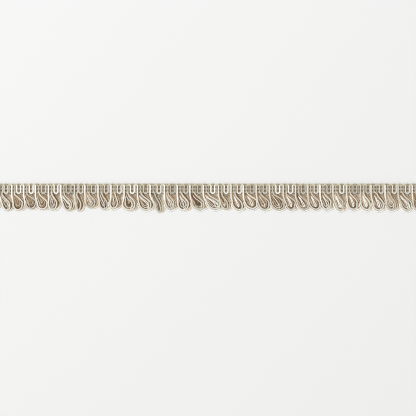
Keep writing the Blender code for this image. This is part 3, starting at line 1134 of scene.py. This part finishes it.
# %% One binding thread
THREAD_RADIUS = 0.21
THREAD_STEP = 0.8
THREAD_END_HEIGHT = 0.7
UNDER_PROUD = 0.45
OVER_TUCKED = 1.9
OVER_FILLER = 1.75
BESIDE_LONG = 1.8
INSIDE_LONG_HEIGHT = 1.1
BETWEEN_HEIGHT = 1.2
INSIDE_SCALLOP_HEIGHT = 0.95


def crossings(repeat):
    """Where a binding thread crosses one repeat, and how high it is there."""
    middle, long_left = scallop_x(repeat), Loop(repeat).roots[0]
    long_right = long_left + LONG_RIGHT - LONG_LEFT
    yield long_left, UNDER_PROUD
    yield long_left + BESIDE_LONG, INSIDE_LONG_HEIGHT
    yield long_right, OVER_TUCKED
    yield (long_right + middle + SCALLOP_LEFT) / 2, BETWEEN_HEIGHT
    yield middle + SCALLOP_LEFT, UNDER_PROUD
    yield middle + INSIDE_SCALLOP, INSIDE_SCALLOP_HEIGHT
    yield middle + SCALLOP_RIGHT, UNDER_PROUD
    yield middle + AFTER_SCALLOP, OVER_FILLER


def warp_thread(level, shade):
    """A thread along the trim that dips under each proud cord."""
    places = [place for repeat in range(REPEATS) for place in crossings(repeat)]
    places.insert(0, (left_end + THREAD_RADIUS, THREAD_END_HEIGHT))
    places.append((right_end - THREAD_RADIUS, THREAD_END_HEIGHT))
    line = smooth([(x, level, height, 1.0, shade) for x, height in places], THREAD_STEP)
    line[:, 3] = THREAD_RADIUS
    return turned(line)


print("a thread crosses each repeat at places:", len(list(crossings(0))))

# %% [markdown]
# Each row has its own level, its number of threads and its shade. Every second thread is lighter, so
# that the threads of a row can be told apart.

# %% Rows of binding threads
ROWS = ((HIGH_LEVEL - 0.2, 5, 0.5), (MIDDLE_LEVEL, 4, 0.3), (LOW_LEVEL, 4, 0.3))
THREAD_GAP = 0.4
SECOND_SHADE = 0.25
THREAD_SIDES = 5

binding = []
for level, threads, shade in ROWS:
    for number in range(threads):
        offset = (number - (threads - 1) / 2) * THREAD_GAP
        binding.append(warp_thread(level + offset, shade + SECOND_SHADE * (number % 2)))
binding_rows = strand_mesh("binding_threads", binding, THREAD_SIDES, BINDING)

# %% [markdown]
# ## The ground of the heading
#
# Under the cords lies the band itself, a thin close cloth. From above it shows only at the bottom of the
# hollows, where its dark brown is partly the cloth's own colour and partly painted shade for their depth,
# and from below it is the whole back of the heading. Its threads could be strands too, but they are too
# small to be told apart. So it is a closed sheet whose face rises and falls as the threads do, and whose
# light and dark points follow them.

# %% Ground cloth
GROUND_LOW = heading_low + 0.45
GROUND_HIGH = heading_high - 1.05
GROUND_TOP = 0.4
GROUND_BOTTOM = 0.02
RIB = 0.55
RIB_HEIGHT = 0.16
GROUND_SHADES = 0.5, 1.0


def raise_ribs(cloth, along, across_ribs):
    """Spread a flat unit grid over the heading and raise every second point."""
    ribs = []
    for vert in cloth.data.vertices:
        rib = (round(vert.co.x * along) + round(vert.co.y * across_ribs)) % 2
        ribs.append(GROUND_SHADES[rib])
        vert.co.x *= (right_end - left_end) * MM
        vert.co.y = (GROUND_LOW + (vert.co.y + 0.5) * (GROUND_HIGH - GROUND_LOW)) * MM
        vert.co.z = (GROUND_TOP + RIB_HEIGHT * rib) * MM
    cloth.data.attributes.new("shade", "FLOAT", "POINT").data.foreach_set("value", ribs)


def make_ground():
    along = int((right_end - left_end) / RIB)
    across_ribs = int((GROUND_HIGH - GROUND_LOW) / RIB)
    bpy.ops.mesh.primitive_grid_add(x_subdivisions=along, y_subdivisions=across_ribs, size=1)
    ground = bpy.context.object
    ground.name = "ground_cloth"
    raise_ribs(ground, along, across_ribs)
    thick = ground.modifiers.new("thickness", "SOLIDIFY")
    thick.thickness = (GROUND_TOP - GROUND_BOTTOM) * MM
    thick.offset = -1
    bpy.ops.object.modifier_apply(modifier=thick.name)
    ground.data.uv_layers[0].name = "strand"
    ground.data.materials.append(GROUND)
    ground.data.shade_smooth()
    return ground


ground_cloth = make_ground()
print("ground cloth, mm:", round(right_end - left_end, 1), "by", round(GROUND_HIGH - GROUND_LOW, 1))

# %% [markdown]
# ## Attach the pieces
#
# Every piece moves with the trim, which is one body. The new pieces stand in for the plain ones, which
# are hidden. The table below pairs each new piece with the name of a finish.

# %% Pieces, bodies and finishes
FINISHES = (
    (cream_heading, "cream_cord"),
    (cream_skirt, "cream_cord"),
    (filler_cords, "cream_cord"),
    (cream_thin, "cream_cord"),
    (tan_inner, "tan_yarn"),
    (tan_outer, "tan_yarn"),
    (tan_lowest, "tan_yarn"),
    (tan_turns, "tan_yarn"),
    (binding_rows, "heading_weave"),
    (ground_cloth, "heading_weave"),
)
for piece, finish in FINISHES:
    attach(piece, "root")
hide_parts("heading")
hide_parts("cream_loops")
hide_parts("tan_loops")
print("pieces handed over:", len(FINISHES))
